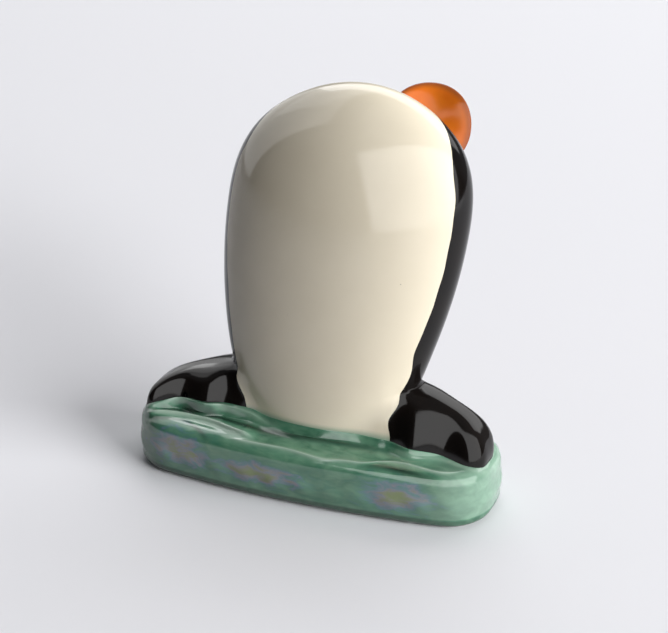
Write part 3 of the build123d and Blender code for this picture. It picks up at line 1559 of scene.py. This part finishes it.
class Role(Enum):
    """What a lamp gives: light and its reflection, or one of them alone."""

    BOTH = "both"
    LIGHT = "light"
    REFLECTION = "reflection"


@dataclass(frozen=True)
class Softbox:
    """Broad soft lamp, placed by its azimuth from the front and its elevation.

    Its role lets the gloss show a window or a wall without glare from the lamp that lights it.
    """

    name: str
    azimuth: float
    elevation: float
    distance: float
    size: Pair
    power: float
    role: Role = Role.BOTH


@dataclass(frozen=True)
class Studio:
    """Pale paper floor, soft lamps, a dim room and the camera."""

    floor_reach: float = 2500.0
    floor_colour: str = "#e3e3e7"
    floor_bounce: str = "#88888c"
    wall_colour: str = "#f3f4f8"
    wall_strength: float = 0.16
    wall_direction: Triple = (-0.25, 0.72, 0.65)
    wall_blend: float = 0.3
    room_strength: float = 0.012
    lamps: tuple[Softbox, ...] = (
        Softbox("window", 76.0, 20.0, 1400.0, (1090.0, 800.0), 35.2, Role.LIGHT),
        Softbox("skylight", 178.0, 38.0, 900.0, (1400.0, 600.0), 5.8),
        Softbox("far_wall", -140.0, 45.0, 900.0, (1000.0, 600.0), 1.2),
        Softbox("window_sheen", 41.0, 29.0, 900.0, (1950.0, 1000.0), 14.0, Role.REFLECTION),
        Softbox("left_wall_sheen", -112.0, 32.0, 900.0, (1300.0, 1150.0), 5.5, Role.REFLECTION),
    )
    aim: Triple = (1.05, 0.0, 30.0)
    camera_azimuth: float = 21.0
    camera_elevation: float = 27.5
    camera_distance: float = 380.0
    aim_right: float = 1.35
    aim_up: float = -1.85
    pixel: float = 0.15
    sensor_width: float = 36.0

    def direction(self, azimuth: float, elevation: float) -> Vector:
        """Unit vector from the figurine towards an azimuth, from the front, and an elevation."""
        a, e = np.radians([azimuth, elevation])
        return Vector((np.sin(a) * np.cos(e), -np.cos(a) * np.cos(e), np.sin(e)))

    def place(self, thing: Piece, where: Vector, towards: Vector) -> None:
        """Put a lamp or camera into the scene with its top upwards.

        Args:
            thing: Lamp or camera.
            where: Point that it stands at.
            towards: Point that it looks at.
        """
        thing.matrix_world = (towards - where).to_track_quat("-Z", "Y").to_matrix().to_4x4()
        thing.location = where
        bpy.context.scene.collection.objects.link(thing)

    def floor(self) -> None:
        """Lay the paper floor, a flat sheet level with the slab's underside.

        The camera and the reflections see it pale, and it throws less light back up.
        """
        reach = self.floor_reach * MM
        corners = [(-reach, -reach, 0), (reach, -reach, 0), (reach, reach, 0), (-reach, reach, 0)]
        mesh = bpy.data.meshes.new("floor")
        mesh.from_pydata(corners, [], [(0, 1, 2, 3)])
        paper = bpy.data.materials.new("matt_paper")
        paper.use_nodes = True
        tree = paper.node_tree
        tree.nodes.clear()
        ray = add_node(tree, "ShaderNodeLightPath")
        seen = ray.outputs["Is Camera Ray"]
        for kind in ("Is Glossy Ray", "Is Transmission Ray"):
            either = {0: seen, 1: ray.outputs[kind]}
            seen = add_node(tree, "ShaderNodeMath", either, use_clamp=True).outputs[0]
        tones = {SHARE: seen, BELOW: srgb(self.floor_bounce), ABOVE: srgb(self.floor_colour)}
        tone = add_node(tree, "ShaderNodeMix", tones, data_type="RGBA").outputs[MIXED]
        shader = add_node(tree, "ShaderNodeBsdfDiffuse", {"Color": tone})
        add_node(tree, "ShaderNodeOutputMaterial", {"Surface": shader.outputs["BSDF"]})
        mesh.materials.append(paper)
        floor = bpy.data.objects.new("floor", mesh)
        bpy.context.scene.collection.objects.link(floor)

    def room(self) -> bpy.types.World:
        """Make a room with a pale wall and ceiling behind the figurine, and dim in front of it.

        Returns:
            The world, whose strength eases up with the cosine towards the wall's direction.
        """
        world = bpy.data.worlds.new("room")
        world.use_nodes = True
        tree = world.node_tree
        tree.nodes.clear()
        towards = add_node(tree, "ShaderNodeTexCoord").outputs["Generated"]
        facing = add_node(
            tree,
            "ShaderNodeVectorMath",
            {0: towards, 1: self.wall_direction},
            operation="DOT_PRODUCT",
        )
        strength = add_node(
            tree,
            "ShaderNodeMapRange",
            {
                "Value": facing.outputs["Value"],
                "From Min": 0.0,
                "From Max": self.wall_blend,
                "To Min": self.room_strength,
                "To Max": self.wall_strength,
            },
            interpolation_type="SMOOTHSTEP",
        )
        wall = add_node(
            tree,
            "ShaderNodeBackground",
            {"Color": srgb(self.wall_colour), "Strength": strength.outputs["Result"]},
        )
        add_node(tree, "ShaderNodeOutputWorld", {"Surface": wall.outputs["Background"]})
        return world

    def light(self) -> None:
        """Hang the lamps, each seen by diffuse or glossy surfaces as its role says."""
        aim = Vector(self.aim) * MM
        for softbox in self.lamps:
            lamp = bpy.data.lights.new(softbox.name, "AREA")
            lamp.shape = "RECTANGLE"
            lamp.size, lamp.size_y = (side * MM for side in softbox.size)
            lamp.energy = softbox.power
            away = self.direction(softbox.azimuth, softbox.elevation)
            thing = bpy.data.objects.new(softbox.name, lamp)
            thing.visible_diffuse = softbox.role is not Role.REFLECTION
            thing.visible_glossy = softbox.role is not Role.LIGHT
            self.place(thing, aim + away * softbox.distance * MM, aim)

    def camera(self) -> Piece:
        """Set up the camera, whose lens gives one photo pixel its size at the aim.

        Returns:
            The camera.
        """
        lens = bpy.data.cameras.new("camera")
        lens.sensor_width = self.sensor_width
        lens.lens = lens.sensor_width * self.camera_distance / (PHOTO_WIDTH * self.pixel)
        away = self.direction(self.camera_azimuth, self.camera_elevation)
        right = Vector((0, 0, 1)).cross(away).normalized()
        up = away.cross(right)
        aim = (Vector(self.aim) + right * self.aim_right + up * self.aim_up) * MM
        camera = bpy.data.objects.new("camera", lens)
        self.place(camera, aim + away * self.camera_distance * MM, aim)
        return camera

    def build(self) -> None:
        """Make the floor, the lights and the camera."""
        scene = bpy.context.scene
        scene.view_settings.view_transform = "Standard"
        self.floor()
        scene.world = self.room()
        self.light()
        scene.camera = self.camera()


def main() -> None:
    """Build every piece and the studio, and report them."""
    logging.basicConfig(level=logging.INFO, format="%(message)s")
    feet = (Foot(Side.RIGHT, rise=43.6), Foot(Side.LEFT, rise=29.5))
    for assembly in (Water(), Penguin(), *feet, Tail(), SeamCoil()):
        for piece in assembly.build():
            LOG.info("%s: %d triangles", piece.name, len(piece.data.polygons))
    Studio().build()


if __name__ == "__main__":
    main()
